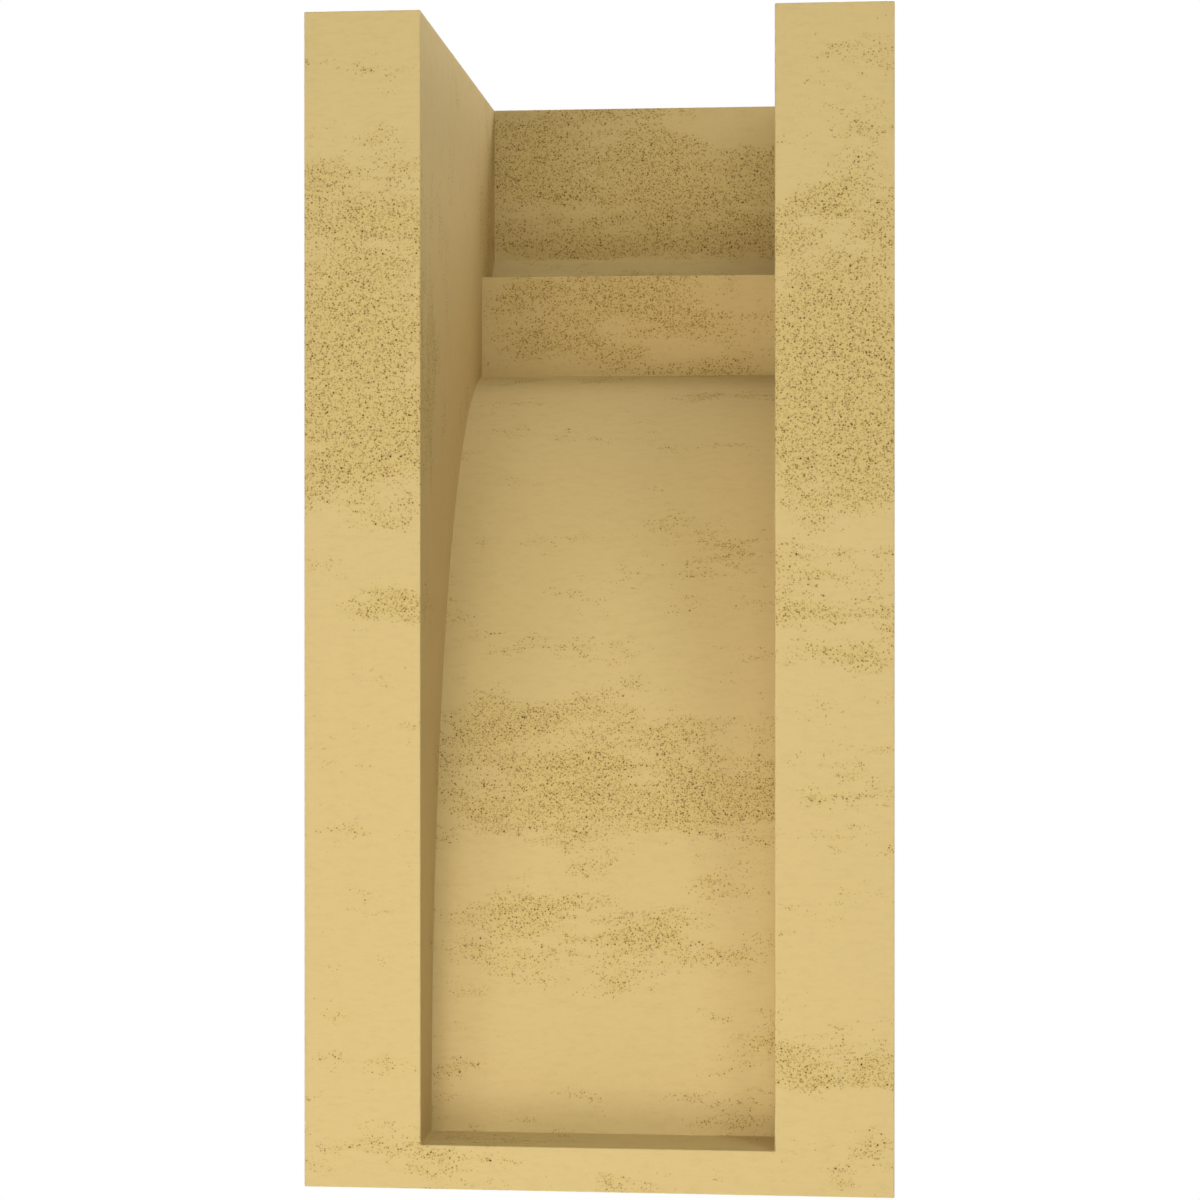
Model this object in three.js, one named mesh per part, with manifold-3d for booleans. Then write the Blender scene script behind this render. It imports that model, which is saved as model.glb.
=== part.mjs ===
// A plain hollow corbel, moulded in one piece. Two thick cheeks and a base carry a shell front of a top
// block, a bevelled bed mould, a fascia and a long cove. It is open at the back and at the top.
//
// Millimetres, +Z up. The back rests on a wall in the plane y = 0 and the front faces -Y. The origin
// lies in the wall plane, at the middle of the base's back rim.

import * as THREE from 'three';
import { mergeVertices } from 'three/addons/utils/BufferGeometryUtils.js';
import Module from 'manifold-3d';

// Overall sizes
const HEIGHT = 508;
const WIDTH = 254;
const PROJECTION = 254; // from the wall to the face of the top block

// The front, from the top down
const BLOCK_HEIGHT = 86.4; // upright face of the top block
const BEVEL = 25.4; // bed mould at 45 degrees, as high as it is deep
const SOFFIT = 22.2; // flat underside between the bevel and the fascia
const FASCIA_HEIGHT = 48.5;
const FOOT_HEIGHT = 10.7; // upright face below the cove
const FOOT_DEPTH = 47.6; // from the wall to the foot's face

// The walls
const CHEEK = 50.8; // each side
const BASE = 19.05; // bottom
const SHELL = 19.05; // front, measured square to its face

// Straight steps that stand for the cove's curve
const COVE_STEPS = 48;

// The hollow's cutters run this far past the open back and the open top
const OVERRUN = 10;

// Levels are heights above the underside and depths are distances in front of the wall
const soffitLevel = HEIGHT - BLOCK_HEIGHT - BEVEL;
const fasciaDepth = PROJECTION - BEVEL - SOFFIT;
const coveTop = soffitLevel - FASCIA_HEIGHT;
const coveReach = fasciaDepth - FOOT_DEPTH;
const coveRise = coveTop - FOOT_HEIGHT;

const wasm = await Module();
wasm.setup();

// The cove is a quarter of an ellipse, tangent to the foot's face and square to the fascia. An inset
// gives the parallel curve on the inside of the shell.
function covePoints(inset) {
  const points = [];
  for (let step = 0; step <= COVE_STEPS; step += 1) {
    const angle = (step / COVE_STEPS) * (Math.PI / 2);
    const across = Math.cos(angle);
    const up = Math.sin(angle);
    const inward = new THREE.Vector2(-across / coveReach, up / coveRise).normalize();
    const point = new THREE.Vector2(fasciaDepth - coveReach * across, FOOT_HEIGHT + coveRise * up);
    points.push(point.addScaledVector(inward, inset));
  }
  return points;
}

// An outline of depths and levels, extruded to a width across the middle of the corbel
function prism(outline, width) {
  const shape = new THREE.Shape(outline);
  const geometry = new THREE.ExtrudeGeometry(shape, { depth: width, bevelEnabled: false });
  geometry.translate(0, -BASE / 2, -width / 2);
  geometry.applyMatrix4(new THREE.Matrix4().makeBasis(
    new THREE.Vector3(0, -1, 0),
    new THREE.Vector3(0, 0, 1),
    new THREE.Vector3(-1, 0, 0),
  ));
  return solid(geometry);
}

// The same body as a solid that can be cut and joined
function solid(geometry) {
  geometry.deleteAttribute('normal');
  geometry.deleteAttribute('uv');
  const merged = mergeVertices(geometry);
  return new wasm.Manifold(new wasm.Mesh({
    numProp: 3,
    vertProperties: merged.getAttribute('position').array,
    triVerts: new Uint32Array(merged.getIndex().array),
  }));
}

function points(...pairs) {
  return pairs.map(([depth, level]) => new THREE.Vector2(depth, level));
}

// The whole corbel as it would be if it were solid
function outside() {
  return prism([
    ...points([0, HEIGHT], [0, 0], [FOOT_DEPTH, 0]),
    ...covePoints(0),
    ...points([fasciaDepth, soffitLevel], [PROJECTION - BEVEL, soffitLevel]),
    ...points([PROJECTION, soffitLevel + BEVEL], [PROJECTION, HEIGHT]),
  ], WIDTH);
}

// The space between the cheeks, kept one shell away from the front and one base above the underside
function hollow() {
  const width = WIDTH - 2 * CHEEK;
  const top = HEIGHT + OVERRUN;
  const faceDepth = PROJECTION - SHELL;
  const ledgeLevel = soffitLevel + SHELL;

  // Where the bevel's two faces meet, a parallel face moves along the corner by this much
  const corner = SHELL * Math.tan(Math.PI / 8);
  const bevelTop = soffitLevel + BEVEL + corner;

  const behindCove = prism([
    ...points([-OVERRUN, top], [-OVERRUN, -OVERRUN], [FOOT_DEPTH - SHELL, -OVERRUN]),
    ...covePoints(SHELL),
    ...points([fasciaDepth, top]),
  ], width);
  const behindFascia = prism(
    points([-OVERRUN, BASE], [fasciaDepth - SHELL, BASE], [fasciaDepth - SHELL, top], [-OVERRUN, top]),
    width,
  );
  const behindBlock = prism([
    ...points([-OVERRUN, ledgeLevel], [faceDepth - (bevelTop - ledgeLevel), ledgeLevel]),
    ...points([faceDepth, bevelTop], [faceDepth, top], [-OVERRUN, top]),
  ], width);
  return behindCove.intersect(behindFascia).add(behindBlock);
}

// A solid back as geometry that can be drawn
function drawable(body) {
  const mesh = body.getMesh();
  const geometry = new THREE.BufferGeometry();
  geometry.setAttribute('position', new THREE.BufferAttribute(mesh.vertProperties, mesh.numProp));
  geometry.setIndex(new THREE.BufferAttribute(mesh.triVerts, 1));
  geometry.computeVertexNormals();
  return geometry;
}

const primedTan = new THREE.MeshStandardMaterial({
  color: 0xdbc184,
  roughness: 0.8,
  metalness: 0,
  flatShading: true,
});

const corbel = new THREE.Mesh(drawable(outside().subtract(hollow())), primedTan);
corbel.name = 'corbel';

const model = new THREE.Group();
model.add(corbel);

export default model;
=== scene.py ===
# A plain hollow corbel seen from behind: the moulded shell, its primed tan finish and a pale studio.

import math

import bmesh
import bpy
from bpy.props import FloatProperty, FloatVectorProperty, IntProperty, PointerProperty
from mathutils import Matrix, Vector


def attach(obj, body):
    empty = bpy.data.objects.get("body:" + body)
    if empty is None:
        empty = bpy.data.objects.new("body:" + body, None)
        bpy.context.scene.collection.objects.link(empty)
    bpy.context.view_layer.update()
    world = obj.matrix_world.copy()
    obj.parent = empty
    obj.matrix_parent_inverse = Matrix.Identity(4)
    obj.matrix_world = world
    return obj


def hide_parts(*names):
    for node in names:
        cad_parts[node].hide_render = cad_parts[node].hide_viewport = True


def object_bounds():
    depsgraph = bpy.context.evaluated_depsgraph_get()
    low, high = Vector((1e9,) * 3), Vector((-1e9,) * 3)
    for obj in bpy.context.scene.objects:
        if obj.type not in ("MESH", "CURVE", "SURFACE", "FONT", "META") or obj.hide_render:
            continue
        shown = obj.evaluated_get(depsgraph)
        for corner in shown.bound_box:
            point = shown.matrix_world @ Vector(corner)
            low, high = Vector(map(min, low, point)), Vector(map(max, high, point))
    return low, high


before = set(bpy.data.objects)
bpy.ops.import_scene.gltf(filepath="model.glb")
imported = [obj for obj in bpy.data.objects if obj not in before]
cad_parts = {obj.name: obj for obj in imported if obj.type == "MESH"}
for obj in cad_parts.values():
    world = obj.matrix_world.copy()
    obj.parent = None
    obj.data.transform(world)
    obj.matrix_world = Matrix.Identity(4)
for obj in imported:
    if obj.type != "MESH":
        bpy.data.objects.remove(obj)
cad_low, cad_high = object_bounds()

bl_info = {
    "name": "Hollow Corbel",
    "version": (1, 0, 0),
    "blender": (4, 5, 0),
    "location": "View3D > Sidebar > Corbel",
    "description": "Builds a moulded hollow corbel with a primed tan finish, and a pale studio round it",
    "category": "Add Mesh",
}

NODE = "corbel"
BODY = "root"
MILLIMETRE = 0.001

# How the shell is drawn: halvings that find a point of the curve, strips across an eased arris, the
# least turn between two faces that is eased, and how far a large face decides the shading beside it
CURVE_HALVINGS = 50
ARRIS_STRIPS = 3
ARRIS_ANGLE = math.radians(30)
FLAT_FACE_WEIGHT = 100

# The photograph's square frame, in its own pixels: its side, the point where its lens's axis falls,
# and its focal length
PHOTO_SIDE = 1200.0
PHOTO_CENTRE = (630.98, 587.79)
PHOTO_FOCAL = 2543.05

# The camera's sensor in millimetres, and how near and how far it sees in metres
SENSOR_WIDTH = 36.0
NEAREST_SEEN = 0.01
FARTHEST_SEEN = 100

# Clouds of pinholes. All but the last four are the photograph's, and those four are on the outer
# sides. Each has its middle (across, depth and height above the underside), its half-size the same
# three ways, both in millimetres, and how much it adds to or takes from the cover.
PINHOLE_CLOUDS = (
    ((104, 0, 350), (50, 70, 62), 0.64),
    ((104, 0, 428), (50, 70, 24), 0.38),
    ((104, 0, 508), (50, 70, 18), -0.30),
    ((92, 0, 252), (24, 70, 8), 0.35),
    ((104, 0, 150), (50, 70, 90), -0.08),
    ((104, 0, 20), (90, 30, 20), 0.12),
    ((-104, 0, 345), (50, 70, 46), 0.68),
    ((-104, 0, 412), (50, 70, 24), 0.42),
    ((-104, 0, 56), (50, 60, 12), 0.48),
    ((-104, 0, 262), (50, 70, 50), 0.26),
    ((0, 215, 440), (130, 50, 84), 0.52),
    ((-45, 235, 498), (28, 20, 10), -0.40),
    ((20, 235, 437), (120, 12, 3), 0.35),
    ((0, 195, 392), (110, 20, 12), 0.02),
    ((50, 235, 484), (60, 20, 20), 0.22),
    ((0, 228, 424), (110, 14, 8), -0.55),
    ((0, 60, 174), (110, 45, 28), 0.52),
    ((48, 66, 200), (30, 40, 12), 0.22),
    ((-48, 66, 150), (30, 40, 30), 0.26),
    ((10, 42, 104), (84, 30, 22), 0.36),
    ((30, 52, 140), (70, 20, 14), 0.16),
    ((-10, 32, 55), (70, 22, 22), -0.16),
    ((0, 120, 290), (100, 60, 60), -0.14),
    ((-40, 95, 270), (36, 40, 26), 0.26),
    ((127, 170, 440), (12, 60, 34), 0.50),
    ((127, 60, 190), (12, 26, 70), 0.34),
    ((-127, 150, 405), (12, 60, 30), 0.46),
    ((-127, 64, 130), (12, 30, 50), 0.40),
)

# A cloud is gone past its edge and full within its core, as shares of its half-size, and its outline
# wanders by its raggedness
CLOUD_EDGE = 1.4
CLOUD_CORE = 0.5
CLOUD_RAGGEDNESS = 1.2

# Noises of the finish, in features per metre
DRIFT_SCALE = 60
RAGGED_SCALE = 190
MOTTLE_SCALE = 330

# Pinholes show where the drift, the raggedness and the clouds add up to more than the clean level.
# From there the cover rises by its gain, and it is thinner on the cheeks' inner and outer sides.
DRIFT_SHARE = 2.0
CLEAN_LEVEL = 1.55
COVER_GAIN = 1.6
CHEEK_THINNING = 0.35

# Faint specks come more often than the cover alone would bring them, and are weakest where it is thin
SPECK_CROWDING = 1.3
SPECK_WEAKEST = 0.25

# The darker pinholes come less often, and are wider apart than the faint specks
PINHOLE_RARITY = 0.12
PINHOLE_SPACING = 1.8

# Strength of the mottle, and the primer's gloss
MOTTLE_STRENGTH = 0.10
GLOSS = 0.25

# Slight tints of the soft light
COOL = (0.86, 0.95, 1.0)
WHITE = (1.0, 1.0, 1.0)
WARM = (1.0, 1.02, 0.99)
WARMER = (1.0, 0.965, 0.915)

# The floor reflects this much, and the camera sees this share of it as evenly lit
FLOOR_WHITE = 0.9
FLOOR_EVEN_SHARE = 0.8
FLOOR_HALF_WIDTH = 3.5

# Light panels: name, place and size in metres, power in watts and tint
LIGHT_PANELS = (
    ("panel_at_camera", (0.0, 1.0, 0.25), 0.6, 4.2, WARMER),
    ("panel_low_near", (0.15, 0.9, -0.35), 0.5, 3.7, WARMER),
    ("panel_left", (0.85, 2.35, 0.25), 0.8, 7.8, WARM),
    ("panel_far_left", (1.6, 1.9, 0.25), 0.8, 10.8, WARM),
    ("panel_high_right", (-1.54, 1.97, 1.3), 0.8, 11.8, COOL),
    ("panel_higher_right", (-0.9, 1.0, 2.0), 0.7, 4.9, COOL),
    ("panel_overhead", (0.0, 0.2, 2.2), 1.5, 10.3, COOL),
    ("panel_over_front", (0.0, -1.2, 1.6), 1.5, 34.0, WHITE),
    ("panel_over_front_right", (-1.3, -1.0, 1.5), 0.8, 10.8, WARM),
    ("panel_front_left", (1.6, -2.0, 0.9), 1.2, 12.0, WHITE),
    ("panel_front_right", (-1.6, -2.0, 0.5), 1.2, 12.0, WHITE),
    ("panel_side_left", (2.4, -0.8, 0.4), 1.2, 19.0, WHITE),
    ("panel_side_right", (-2.4, -0.8, 0.4), 1.2, 19.0, WHITE),
)


class CorbelSizes(bpy.types.PropertyGroup):
    """Sizes of the moulding, in metres, measured as a maker would."""

    width: FloatProperty(
        name="Width",
        description="Across both cheeks",
        default=cad_high.x - cad_low.x,
        unit="LENGTH",
        subtype="DISTANCE",
    )
    height: FloatProperty(
        name="Height",
        description="From the underside to the top",
        default=cad_high.z - cad_low.z,
        unit="LENGTH",
        subtype="DISTANCE",
    )
    projection: FloatProperty(
        name="Projection",
        description="From the wall to the face of the top block",
        default=cad_high.y - cad_low.y,
        unit="LENGTH",
        subtype="DISTANCE",
    )
    block_height: FloatProperty(
        name="Block height",
        description="Upright face of the top block",
        default=0.0864,
        unit="LENGTH",
        subtype="DISTANCE",
    )
    bevel: FloatProperty(
        name="Bed mould",
        description="Sloping face under the block, as high as it is deep",
        default=0.0254,
        unit="LENGTH",
        subtype="DISTANCE",
    )
    soffit: FloatProperty(
        name="Soffit",
        description="Flat underside between the bed mould and the fascia",
        default=0.0222,
        unit="LENGTH",
        subtype="DISTANCE",
    )
    fascia_height: FloatProperty(
        name="Fascia height",
        description="Upright face between the soffit and the cove",
        default=0.0485,
        unit="LENGTH",
        subtype="DISTANCE",
    )
    foot_height: FloatProperty(
        name="Foot height",
        description="Upright face below the cove",
        default=0.0107,
        unit="LENGTH",
        subtype="DISTANCE",
    )
    foot_depth: FloatProperty(
        name="Foot depth",
        description="From the wall to the foot's face",
        default=0.0476,
        unit="LENGTH",
        subtype="DISTANCE",
    )
    cheek: FloatProperty(
        name="Cheek",
        description="Thickness of each side",
        default=0.0508,
        unit="LENGTH",
        subtype="DISTANCE",
    )
    base: FloatProperty(
        name="Base",
        description="Thickness of the bottom",
        default=0.01905,
        unit="LENGTH",
        subtype="DISTANCE",
    )
    shell: FloatProperty(
        name="Shell",
        description="Thickness of the front, square to its face",
        default=0.01905,
        unit="LENGTH",
        subtype="DISTANCE",
    )
    arris: FloatProperty(
        name="Arris",
        description="How far each edge is eased",
        default=0.0006,
        unit="LENGTH",
        subtype="DISTANCE",
    )
    cove_steps: IntProperty(
        name="Cove steps",
        description="Strips that the cove's curve is drawn with",
        default=120,
        min=8,
    )


class CorbelFinish(bpy.types.PropertyGroup):
    """Colours and grain of the primed moulding."""

    tan: FloatVectorProperty(
        name="Tan",
        description="Primer where it is clean",
        subtype="COLOR",
        default=(0.565, 0.418, 0.176),
    )
    straw: FloatVectorProperty(
        name="Straw",
        description="Yellower primer along the grain",
        subtype="COLOR",
        default=(0.54, 0.4, 0.15),
    )
    speck: FloatVectorProperty(
        name="Speck",
        description="Faint specks and mottle",
        subtype="COLOR",
        default=(0.19, 0.09, 0.005),
    )
    pinhole: FloatVectorProperty(
        name="Pinhole",
        description="Bottom of a pinhole",
        subtype="COLOR",
        default=(0.066, 0.024, 0.002),
    )
    speck_gap: FloatProperty(
        name="Speck gap",
        description="Distance from one faint speck to the next where they are thick",
        default=0.0009,
        unit="LENGTH",
        subtype="DISTANCE",
    )
    stretch: FloatProperty(
        name="Stretch",
        description="How much longer the grain's bands are than high",
        default=2.6,
    )
    roughness: FloatProperty(
        name="Roughness",
        description="Roughness of the primer where it is clean",
        subtype="FACTOR",
        default=0.78,
    )
    pinhole_roughness: FloatProperty(
        name="Pinhole roughness",
        description="Roughness at the bottom of a pinhole",
        subtype="FACTOR",
        default=0.95,
    )


class CorbelStudio(bpy.types.PropertyGroup):
    """Camera, light and floor."""

    camera: FloatVectorProperty(
        name="Camera",
        description="Where the camera stands",
        subtype="XYZ",
        unit="LENGTH",
        default=(-0.104746, 1.084028, 0.251899),
    )
    yaw: FloatProperty(
        name="Yaw",
        description="How far the camera is turned towards the +X cheek",
        subtype="ANGLE",
        default=0.0828,
    )
    pitch: FloatProperty(
        name="Pitch",
        description="How far the camera looks up",
        subtype="ANGLE",
        default=-0.00216,
    )
    floor_drop: FloatProperty(
        name="Floor drop",
        description="From the corbel's underside down to the floor",
        default=0.9,
        unit="LENGTH",
        subtype="DISTANCE",
    )
    sky: FloatProperty(
        name="Sky",
        description="Strength of the dome straight overhead",
        default=0.05,
    )


class CorbelProfile:
    """The corbel's section: depths in front of the wall and levels above the underside."""

    def __init__(self, sizes):
        self.sizes = sizes
        self.soffit_level = sizes.height - sizes.block_height - sizes.bevel
        self.fascia_depth = sizes.projection - sizes.bevel - sizes.soffit
        self.cove_top = self.soffit_level - sizes.fascia_height
        self.cove_reach = self.fascia_depth - sizes.foot_depth
        self.cove_rise = self.cove_top - sizes.foot_height

    def cove(self, angle, inset):
        """A point of the quarter ellipse, or of the parallel curve inside the shell."""
        across, up = math.cos(angle), math.sin(angle)
        inward = Vector((-across / self.cove_reach, up / self.cove_rise)).normalized()
        level = self.sizes.foot_height + self.cove_rise * up
        return Vector((self.fascia_depth - self.cove_reach * across, level)) + inward * inset

    def cove_angle(self, axis, value):
        """The angle where the curve inside the shell reaches a depth (axis 0) or a level (axis 1)."""
        low, high = 0.0, math.pi / 2
        for _ in range(CURVE_HALVINGS):
            middle = (low + high) / 2
            if self.cove(middle, self.sizes.shell)[axis] < value:
                low = middle
            else:
                high = middle
        return (low + high) / 2

    def cove_run(self, start, stop, inset):
        """Points of the curve from one angle to another."""
        steps = self.sizes.cove_steps
        return [self.cove(start + (stop - start) * i / steps, inset) for i in range(steps + 1)]

    def outside(self):
        """From the wall at the underside, round the front, to the top of the block."""
        sizes = self.sizes
        bevel_back = sizes.projection - sizes.bevel
        return [
            Vector((0, 0)),
            Vector((sizes.foot_depth, 0)),
            *self.cove_run(0, math.pi / 2, 0),
            Vector((self.fascia_depth, self.soffit_level)),
            Vector((bevel_back, self.soffit_level)),
            Vector((sizes.projection, self.soffit_level + sizes.bevel)),
            Vector((sizes.projection, sizes.height)),
        ]

    def inside(self):
        """The same round the hollow, from the wall at the base to the top."""
        sizes = self.sizes
        face = sizes.projection - sizes.shell
        fascia = self.fascia_depth - sizes.shell
        ledge = self.soffit_level + sizes.shell
        corner = sizes.shell * math.tan(math.pi / 8)  # the bed mould's 45 degrees, halved
        bevel_top = self.soffit_level + sizes.bevel + corner
        start = self.cove_angle(1, sizes.base)
        stop = self.cove_angle(0, fascia)
        return [
            Vector((0, sizes.base)),
            *self.cove_run(start, stop, sizes.shell),
            Vector((fascia, ledge)),
            Vector((face - (bevel_top - ledge), ledge)),
            Vector((face, bevel_top)),
            Vector((face, sizes.height)),
        ]


def shell_mesh(name, sizes):
    """The moulding as one closed mesh: two sections across its width, joined by strips."""
    profile = CorbelProfile(sizes)
    outside, inside = profile.outside(), profile.inside()
    drop = cad_low.z
    mesh = bmesh.new()

    def section(x, outline):
        return [mesh.verts.new((x, cad_high.y - depth, drop + level)) for depth, level in outline]

    def strips(left, right):
        for i in range(len(left) - 1):
            mesh.faces.new((left[i], left[i + 1], right[i + 1], right[i]))

    half, inner_half = sizes.width / 2, sizes.width / 2 - sizes.cheek
    top_corner = Vector((0, sizes.height))
    out_left, out_right = (section(x, [*outside, top_corner]) for x in (half, -half))
    in_left, in_right = (section(x, [*inside, top_corner]) for x in (inner_half, -inner_half))

    strips(out_left[:-1], out_right[:-1])
    strips(in_right[:-1], in_left[:-1])
    mesh.faces.new(list(reversed(out_left)))
    mesh.faces.new(out_right)
    mesh.faces.new(in_left)
    mesh.faces.new(list(reversed(in_right)))

    # The flat back and the flat top are both U-shaped
    mesh.faces.new((
        out_left[0], out_left[-1], in_left[-1], in_left[0],
        in_right[0], in_right[-1], out_right[-1], out_right[0],
    ))
    mesh.faces.new((
        out_left[-1], out_left[-2], out_right[-2], out_right[-1],
        in_right[-1], in_right[-2], in_left[-2], in_left[-1],
    ))
    bmesh.ops.recalc_face_normals(mesh, faces=mesh.faces)
    data = bpy.data.meshes.new(name)
    mesh.to_mesh(data)
    mesh.free()
    return data


def add(tree, kind, inputs=None, **settings):
    """A shader node, with its settings and with values or links on its inputs."""
    node = tree.nodes.new(kind)
    for setting, value in settings.items():
        setattr(node, setting, value)
    for socket, value in (inputs or {}).items():
        if isinstance(value, bpy.types.NodeSocket):
            tree.links.new(value, node.inputs[socket])
        else:
            node.inputs[socket].default_value = value
    return node


def maths(tree, operation, *values, clamp=False):
    """The result of one sum on numbers."""
    node = add(tree, "ShaderNodeMath", dict(enumerate(values)), operation=operation, use_clamp=clamp)
    return node.outputs[0]


def vector_maths(tree, operation, *values):
    """The result of one sum on vectors. A length is a number, and the rest are vectors."""
    node = add(tree, "ShaderNodeVectorMath", dict(enumerate(values)), operation=operation)
    return node.outputs["Value" if operation == "LENGTH" else "Vector"]


def ramp(tree, value, low, high, to_low=0.0, to_high=1.0):
    """A soft step of a value from low to high."""
    node = add(
        tree,
        "ShaderNodeMapRange",
        {"Value": value, "From Min": low, "From Max": high, "To Min": to_low, "To Max": to_high},
        interpolation_type="SMOOTHSTEP",
    )
    return node.outputs["Result"]


def noise(tree, vector, scale, detail, roughness):
    """A cloudy value about a half."""
    inputs = {"Vector": vector, "Scale": scale, "Detail": detail, "Roughness": roughness}
    return add(tree, "ShaderNodeTexNoise", inputs, noise_dimensions="3D").outputs["Fac"]


def mix(tree, kind, factor, first, second):
    """A mix of two vectors or two colours. The node numbers its sockets for each kind."""
    number, mixed = {"VECTOR": (4, 1), "RGBA": (6, 2)}[kind]
    inputs = {0: factor, number: first, number + 1: second}
    return add(tree, "ShaderNodeMix", inputs, data_type=kind).outputs[mixed]


def mix_colour(tree, factor, first, second):
    return mix(tree, "RGBA", factor, first, second)


def grain_coordinates(tree, finish):
    """A place, the same squeezed along the grain, and how far the face is a cheek's side. The grain
    runs across the front and up the cheeks' sides."""
    source = tree.nodes.new("ShaderNodeTexCoord")
    place = source.outputs["Object"]
    across = vector_maths(tree, "MULTIPLY", place, (1 / finish.stretch, 1, 1))
    upright = vector_maths(tree, "MULTIPLY", place, (1, 1, 1 / finish.stretch))
    facing = add(tree, "ShaderNodeSeparateXYZ", {0: source.outputs["Normal"]}).outputs["X"]
    cheek = ramp(tree, maths(tree, "ABSOLUTE", facing), low=0.6, high=0.8)
    return place, mix(tree, "VECTOR", cheek, across, upright), cheek


def cloud_bias(tree, place, ragged):
    """How much the clouds of pinholes add to or take from the cover at a place."""
    warp = maths(tree, "MULTIPLY_ADD", ragged, CLOUD_RAGGEDNESS, -CLOUD_RAGGEDNESS / 2)
    total = 0.0
    for middle, half_size, strength in PINHOLE_CLOUDS:
        across, depth, level = (v * MILLIMETRE for v in middle)
        centre = (across, cad_high.y - depth, cad_low.z + level)
        spread = tuple(1 / (v * MILLIMETRE) for v in half_size)
        offset = vector_maths(tree, "SUBTRACT", place, centre)
        reach = vector_maths(tree, "LENGTH", vector_maths(tree, "MULTIPLY", offset, spread))
        falling = ramp(tree, maths(tree, "ADD", reach, warp), CLOUD_EDGE, CLOUD_CORE)
        total = maths(tree, "MULTIPLY_ADD", falling, strength, total)
    return total


def pinhole_cover(tree, place, drift, ragged, cheek):
    """How thick the pinholes are at a place, from 0 where it is clean to 1."""
    field = maths(tree, "MULTIPLY_ADD", drift, DRIFT_SHARE, cloud_bias(tree, place, ragged))
    field = maths(tree, "ADD", ragged, field)
    thick = maths(tree, "MULTIPLY_ADD", field, COVER_GAIN, -COVER_GAIN * CLEAN_LEVEL)
    kept = maths(tree, "MULTIPLY_ADD", cheek, -CHEEK_THINNING, 1.0)
    return maths(tree, "MULTIPLY", thick, kept, clamp=True)


def pinholes(tree, place, cover, gap, radius, spread, pale, dark):
    """Round dots, by chance one in a cell of space. The chance rises with the cover. Each dot has its
    own radius, as a share of the cell, and its own depth of colour, from pale to dark."""
    cells = add(
        tree,
        "ShaderNodeTexVoronoi",
        {"Vector": place, "Scale": 1 / gap, "Randomness": 1.0},
        feature="F1",
        voronoi_dimensions="3D",
    )
    chance = add(tree, "ShaderNodeSeparateColor", {0: cells.outputs["Color"]}).outputs
    present = ramp(tree, maths(tree, "SUBTRACT", cover, chance["Red"]), low=-0.06, high=0.12)
    reach = maths(tree, "MULTIPLY_ADD", chance["Green"], spread, radius)
    dot = ramp(tree, maths(tree, "DIVIDE", cells.outputs["Distance"], reach), low=1.0, high=0.3)
    mostly_pale = maths(tree, "POWER", chance["Blue"], 1.5)
    depth = maths(tree, "MULTIPLY_ADD", mostly_pale, dark - pale, pale)
    return maths(tree, "MULTIPLY", maths(tree, "MULTIPLY", present, dot), depth)


def primed_tan(finish):
    """Matte tan primer, mottled along its grain, peppered with faint specks and darker pinholes."""
    material = bpy.data.materials.new("primed_tan")
    material.use_nodes = True
    tree = material.node_tree
    tree.nodes.clear()

    place, grain, cheek = grain_coordinates(tree, finish)
    drift = noise(tree, grain, DRIFT_SCALE, detail=3, roughness=0.65)
    ragged = noise(tree, grain, RAGGED_SCALE, detail=3, roughness=0.7)
    cover = pinhole_cover(tree, place, drift, ragged, cheek)

    crowd = maths(tree, "MULTIPLY", cover, SPECK_CROWDING)
    gap = finish.speck_gap
    faint = pinholes(tree, place, crowd, gap, radius=0.45, spread=0.27, pale=0.3, dark=1.0)
    fading = ramp(tree, cover, low=-0.2, high=0.6, to_low=SPECK_WEAKEST)
    faint = maths(tree, "MULTIPLY", faint, fading)
    few = maths(tree, "SUBTRACT", cover, PINHOLE_RARITY)
    gap = PINHOLE_SPACING * finish.speck_gap
    strong = pinholes(tree, place, few, gap, radius=0.26, spread=0.15, pale=0.5, dark=1.0)

    streaks = noise(tree, grain, MOTTLE_SCALE, detail=4, roughness=0.75)
    mottle = ramp(tree, streaks, low=0.42, high=0.75, to_high=MOTTLE_STRENGTH)
    colour = mix_colour(tree, ramp(tree, cover, low=0.0, high=0.9), (*finish.tan, 1), (*finish.straw, 1))
    colour = mix_colour(tree, mottle, colour, (*finish.speck, 1))
    colour = mix_colour(tree, faint, colour, (*finish.speck, 1))
    colour = mix_colour(tree, strong, colour, (*finish.pinhole, 1))
    dull = ramp(tree, strong, low=0.0, high=1.0, to_low=finish.roughness, to_high=finish.pinhole_roughness)

    surface = add(
        tree,
        "ShaderNodeBsdfPrincipled",
        {"Base Color": colour, "Roughness": dull, "Specular IOR Level": GLOSS},
    )
    add(tree, "ShaderNodeOutputMaterial", {"Surface": surface.outputs["BSDF"]})
    return material


def pale_floor():
    """Matte and pale. Only the camera sees its evenly lit share, so the corbel gets none of that light."""
    material = bpy.data.materials.new("pale_floor")
    material.use_nodes = True
    tree = material.node_tree
    tree.nodes.clear()
    matte = add(tree, "ShaderNodeBsdfDiffuse", {"Color": (FLOOR_WHITE, FLOOR_WHITE, FLOOR_WHITE, 1)})
    even = add(tree, "ShaderNodeEmission", {"Color": (1, 1, 1, 1), "Strength": FLOOR_WHITE})
    seen = tree.nodes.new("ShaderNodeLightPath").outputs["Is Camera Ray"]
    share = maths(tree, "MULTIPLY", seen, FLOOR_EVEN_SHARE)
    both = add(tree, "ShaderNodeMixShader", {0: share, 1: matte.outputs[0], 2: even.outputs[0]})
    add(tree, "ShaderNodeOutputMaterial", {"Surface": both.outputs[0]})
    return material


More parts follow.
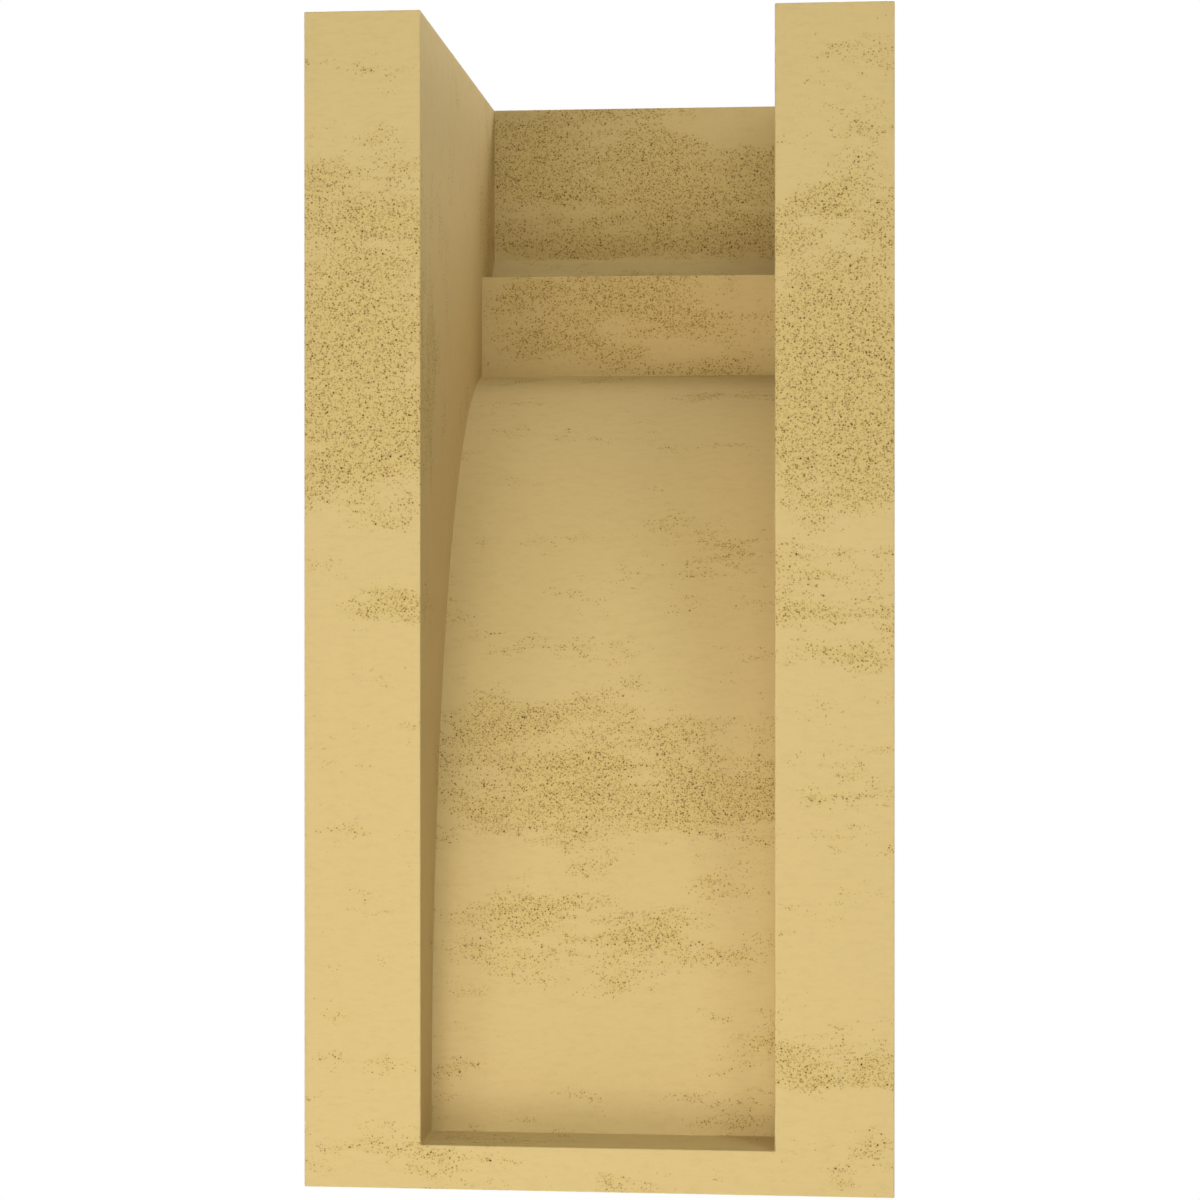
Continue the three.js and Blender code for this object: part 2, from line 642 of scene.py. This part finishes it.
class CORBEL_OT_moulded_shell(bpy.types.Operator):
    """Build the corbel's moulding, open at the back and the top."""

    bl_idname = "corbel.moulded_shell"
    bl_label = "Moulded Shell"
    bl_options = {"REGISTER", "UNDO"}

    def execute(self, context):
        sizes = context.scene.corbel_sizes
        if 2 * sizes.cheek >= sizes.width:
            raise RuntimeError("The two cheeks leave no hollow between them")
        data = shell_mesh("moulded_shell", sizes)
        data.materials.append(primed_tan(context.scene.corbel_finish))
        data.shade_smooth()
        piece = bpy.data.objects.new("moulded_shell", data)
        context.scene.collection.objects.link(piece)
        eased = piece.modifiers.new("Eased arrises", "BEVEL")
        eased.width = sizes.arris
        eased.segments = ARRIS_STRIPS
        eased.limit_method = "ANGLE"
        eased.angle_limit = ARRIS_ANGLE
        weighted = piece.modifiers.new("Flat faces stay flat", "WEIGHTED_NORMAL")
        weighted.weight = FLAT_FACE_WEIGHT
        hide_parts(NODE)
        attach(piece, BODY)
        return {"FINISHED"}


class CORBEL_OT_studio(bpy.types.Operator):
    """Set up the camera, the soft lights, the sky and the floor."""

    bl_idname = "corbel.studio"
    bl_label = "Studio"
    bl_options = {"REGISTER", "UNDO"}

    def execute(self, context):
        studio = context.scene.corbel_studio
        place_camera(context.scene, studio)
        place_lights(context.scene)
        paint_sky(context.scene, studio)
        lay_floor(context.scene, studio)
        context.scene.view_settings.view_transform = "Standard"
        return {"FINISHED"}


def place_camera(scene, studio):
    """The photograph's own view, with the shift that its frame has."""
    data = bpy.data.cameras.new("photo_camera")
    data.sensor_width = SENSOR_WIDTH
    data.lens = PHOTO_FOCAL / PHOTO_SIDE * SENSOR_WIDTH
    data.shift_x = 0.5 - PHOTO_CENTRE[0] / PHOTO_SIDE
    data.shift_y = PHOTO_CENTRE[1] / PHOTO_SIDE - 0.5
    data.clip_start = NEAREST_SEEN
    data.clip_end = FARTHEST_SEEN
    camera = bpy.data.objects.new("photo_camera", data)
    camera.location = studio.camera
    camera.rotation_euler = (math.pi / 2 + studio.pitch, 0, math.pi + studio.yaw)
    scene.collection.objects.link(camera)
    scene.camera = camera


def place_lights(scene):
    """Large soft panels, each aimed at the middle of the corbel. Left and right are the photograph's."""
    middle = (cad_low + cad_high) / 2
    for name, place, size, power, tint in LIGHT_PANELS:
        data = bpy.data.lights.new(name, "AREA")
        data.size = size
        data.energy = power
        data.color = tint
        lamp = bpy.data.objects.new(name, data)
        lamp.location = place
        lamp.rotation_euler = (middle - Vector(place)).to_track_quat("-Z", "Y").to_euler()
        lamp.visible_camera = False
        scene.collection.objects.link(lamp)


def paint_sky(scene, studio):
    """A white dome, brightest overhead, and pure white where the camera sees past the object."""
    world = bpy.data.worlds.new("studio_sky")
    world.use_nodes = True
    tree = world.node_tree
    tree.nodes.clear()
    direction = tree.nodes.new("ShaderNodeTexCoord").outputs["Generated"]
    upward = add(tree, "ShaderNodeSeparateXYZ", {0: direction}).outputs["Z"]
    strength = maths(tree, "MULTIPLY", maths(tree, "MAXIMUM", upward, 0.0), studio.sky)
    light = add(tree, "ShaderNodeBackground", {"Color": (1, 1, 1, 1), "Strength": strength})
    seen = add(tree, "ShaderNodeBackground", {"Color": (1, 1, 1, 1), "Strength": 1.0})
    ray = tree.nodes.new("ShaderNodeLightPath")
    both = add(
        tree,
        "ShaderNodeMixShader",
        {0: ray.outputs["Is Camera Ray"], 1: light.outputs[0], 2: seen.outputs[0]},
    )
    add(tree, "ShaderNodeOutputWorld", {"Surface": both.outputs[0]})
    scene.world = world


def lay_floor(scene, studio):
    """A wide pale floor, well below a corbel that hangs on a wall."""
    reach = FLOOR_HALF_WIDTH
    level = cad_low.z - studio.floor_drop
    corners = [(-reach, -reach), (reach, -reach), (reach, reach), (-reach, reach)]
    data = bpy.data.meshes.new("studio_floor")
    data.from_pydata([(x, y, level) for x, y in corners], [], [(0, 1, 2, 3)])
    data.materials.append(pale_floor())
    floor = bpy.data.objects.new("studio_floor", data)
    scene.collection.objects.link(floor)


class CORBEL_PT_sidebar(bpy.types.Panel):
    """Lists the corbel's operators and settings."""

    bl_idname = "CORBEL_PT_sidebar"
    bl_label = "Hollow Corbel"
    bl_space_type = "VIEW_3D"
    bl_region_type = "UI"
    bl_category = "Corbel"

    def draw(self, context):
        for title, group, operator in (
            ("Moulding", context.scene.corbel_sizes, None),
            ("Finish", context.scene.corbel_finish, CORBEL_OT_moulded_shell),
            ("Studio", context.scene.corbel_studio, CORBEL_OT_studio),
        ):
            box = self.layout.box()
            box.label(text=title)
            for name in group.__annotations__:
                box.prop(group, name)
            if operator:
                box.operator(operator.bl_idname)


CLASSES = (
    CorbelSizes,
    CorbelFinish,
    CorbelStudio,
    CORBEL_OT_moulded_shell,
    CORBEL_OT_studio,
    CORBEL_PT_sidebar,
)


def register():
    for each in CLASSES:
        bpy.utils.register_class(each)
    bpy.types.Scene.corbel_sizes = PointerProperty(type=CorbelSizes)
    bpy.types.Scene.corbel_finish = PointerProperty(type=CorbelFinish)
    bpy.types.Scene.corbel_studio = PointerProperty(type=CorbelStudio)


def unregister():
    del bpy.types.Scene.corbel_studio
    del bpy.types.Scene.corbel_finish
    del bpy.types.Scene.corbel_sizes
    for each in reversed(CLASSES):
        bpy.utils.unregister_class(each)


def main():
    """Builds the corbel and its studio."""
    register()
    bpy.ops.corbel.moulded_shell()
    bpy.ops.corbel.studio()


if __name__ == "__main__":
    main()
